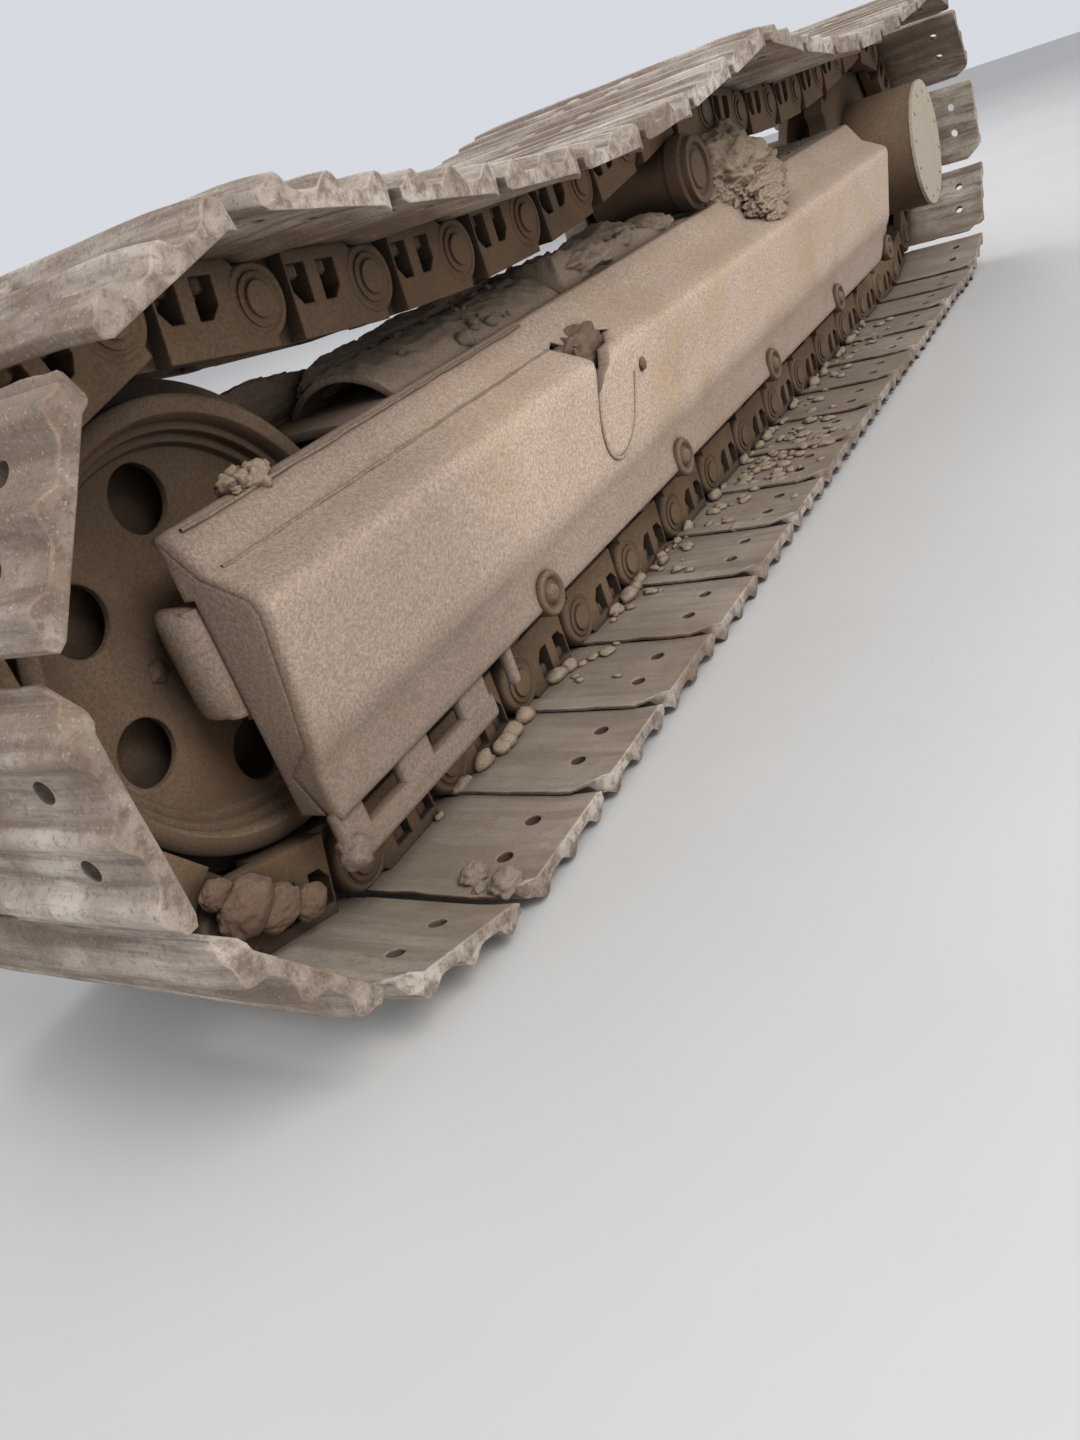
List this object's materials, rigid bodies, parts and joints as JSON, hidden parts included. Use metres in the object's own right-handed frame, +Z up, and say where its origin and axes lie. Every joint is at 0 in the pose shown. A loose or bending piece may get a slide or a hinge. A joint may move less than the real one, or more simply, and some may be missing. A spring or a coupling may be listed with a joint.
{
  "type": "crawler track unit",
  "caption": "Left-hand crawler track unit of an excavator: side frame, idler, rollers, final drive, and an endless link chain with grouser shoes.",
  "frame": {"origin": "on the ground, at the middle of the unit's bounding box", "axes": "+X forwards, from the sprocket to the idler; +Y outwards, away from the machine's middle; +Z up"},
  "size_m": [2.752, 0.45, 0.5948],
  "materials": {
    "shoe_steel": "worn pale steel with rust at the edges and dry dust",
    "chain_steel": "rusty and caked with dry soil",
    "cast_steel": "brown rust, polished where the chain runs",
    "bare_steel": "dull machined steel",
    "frame_paint": "faded yellow paint under tan dust",
    "cover_paint": "pale beige, dusty"
  },
  "bodies": {
    "frame": {"shoes": "shoe_steel", "links": "chain_steel", "idler_shaft": "bare_steel", "idler_yoke": "frame_paint", "adjuster_rod": "bare_steel", "recoil_cylinder": "frame_paint", "yoke_guides": "frame_paint", "frame_side_outer": "frame_paint", "frame_side_inner": "frame_paint", "frame_roof": "frame_paint", "bulkheads": "frame_paint", "fork_fronts": "frame_paint", "guide_guard_outer": "frame_paint", "guide_guard_inner": "frame_paint", "track_roller_1": "cast_steel", "track_roller_2": "cast_steel", "track_roller_3": "cast_steel", "track_roller_4": "cast_steel", "track_roller_5": "cast_steel", "roller_shaft_1": "bare_steel", "roller_shaft_2": "bare_steel", "roller_shaft_3": "bare_steel", "roller_shaft_4": "bare_steel", "roller_shaft_5": "bare_steel", "carrier_roller": "cast_steel", "carrier_shaft": "bare_steel", "carrier_bracket": "frame_paint", "sprocket": "cast_steel", "drive_drum": "cast_steel", "drive_cover": "cover_paint", "travel_motor": "cast_steel", "motor_plate": "frame_paint", "leg_front": "frame_paint", "leg_rear": "frame_paint"},
    "idler": {"idler_wheel": "cast_steel"}
  },
  "joints": [
    {"name": "idler_spin", "type": "hinge", "parent": "frame", "child": "idler", "pos_m": [1.08846, 0, 0.2996], "axis": [0, 1, 0], "continuous": true}
  ]
}
